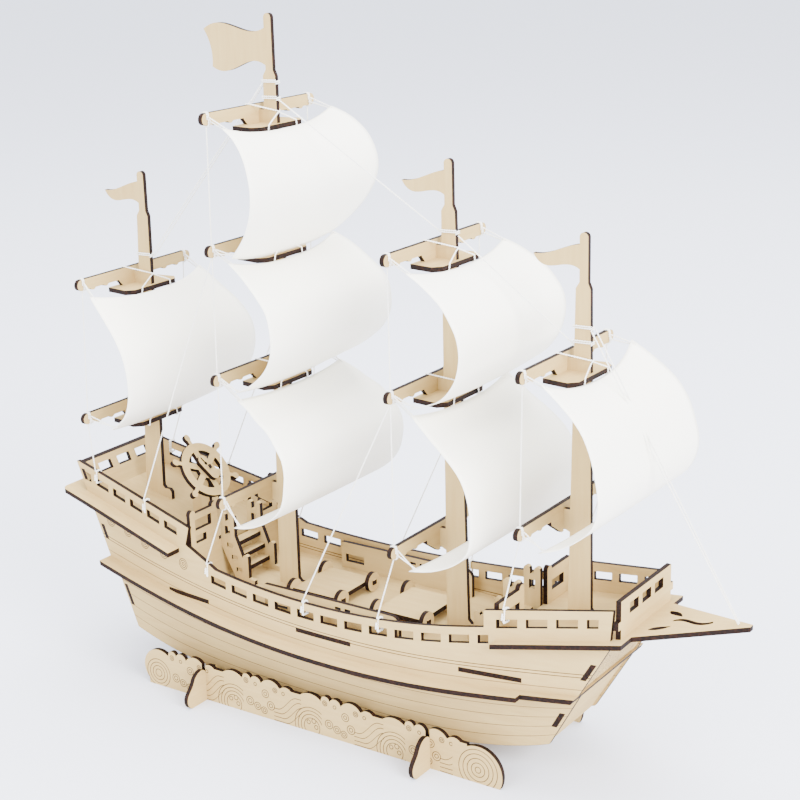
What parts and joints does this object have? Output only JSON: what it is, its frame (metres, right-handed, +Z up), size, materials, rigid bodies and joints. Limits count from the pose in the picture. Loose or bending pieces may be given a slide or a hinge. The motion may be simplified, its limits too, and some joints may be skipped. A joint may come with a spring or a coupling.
{
  "type": "wooden ship puzzle",
  "caption": "Slot-together plywood sailing ship with curved stiff sails and thread rigging, lifted on and off a separate wave-shaped stand; its helm wheel turns.",
  "frame": {"origin": "on the table under the middle of the bounding box", "axes": "+X towards the bow, +Y to port, +Z up"},
  "size_m": [0.3928, 0.115, 0.362],
  "materials": {
    "birch_ply": "raw, laser-cut edges",
    "sail_sheet": "matte stiffened sheet",
    "rigging_thread": "white twisted thread"
  },
  "bodies": {
    "stand": {"cross_foot_aft": "birch_ply", "cross_foot_fore": "birch_ply", "wave_board_port": "birch_ply", "wave_board_starboard": "birch_ply"},
    "ship": {"bottom_plate": "birch_ply", "bow_panel_lower": "birch_ply", "bow_panel_upper": "birch_ply", "carriage_plates": "birch_ply", "carriage_wheels": "birch_ply", "fore_ladder": "birch_ply", "forecastle_bulkhead": "birch_ply", "forecastle_deck": "birch_ply", "forecastle_rail_aft": "birch_ply", "forecastle_rail_fore": "birch_ply", "helm_clip": "birch_ply", "helm_post": "birch_ply", "hull_frames": "birch_ply", "inner_bulwark_port": "birch_ply", "inner_bulwark_starboard": "birch_ply", "keel_board": "birch_ply", "lower_side_port": "birch_ply", "lower_side_starboard": "birch_ply", "main_deck": "birch_ply", "main_ladder": "birch_ply", "mast_bow": "birch_ply", "mast_fore": "birch_ply", "mast_main": "birch_ply", "mast_mizzen": "birch_ply", "mast_tops": "birch_ply", "quarterdeck": "birch_ply", "quarterdeck_bulkhead": "birch_ply", "rigging_threads": "rigging_thread", "sail_bow_1": "sail_sheet", "sail_fore_1": "sail_sheet", "sail_fore_2": "sail_sheet", "sail_main_1": "sail_sheet", "sail_main_2": "sail_sheet", "sail_main_3": "sail_sheet", "sail_mizzen_1": "sail_sheet", "stern_rail": "birch_ply", "transom_lower": "birch_ply", "transom_upper": "birch_ply", "upper_side_port": "birch_ply", "upper_side_starboard": "birch_ply", "wale_plate_bow": "birch_ply", "wale_plate_main": "birch_ply", "wale_plate_stern": "birch_ply", "yard_bow_1": "birch_ply", "yard_bow_2": "birch_ply", "yard_fore_1": "birch_ply", "yard_fore_2": "birch_ply", "yard_fore_3": "birch_ply", "yard_main_1": "birch_ply", "yard_main_2": "birch_ply", "yard_main_3": "birch_ply", "yard_main_4": "birch_ply", "yard_mizzen_1": "birch_ply", "yard_mizzen_2": "birch_ply"},
    "helm": {"helm_wheel": "birch_ply"}
  },
  "joints": [
    {"name": "ship_lift", "type": "slide", "parent": "stand", "child": "ship", "axis": [0, 0, 1], "range_m": [0, 0.08]},
    {"name": "helm_spin", "type": "hinge", "parent": "ship", "child": "helm", "pos_m": [-0.1245, 0, 0.1148], "axis": [0.788, 0, 0.6157], "continuous": true}
  ]
}
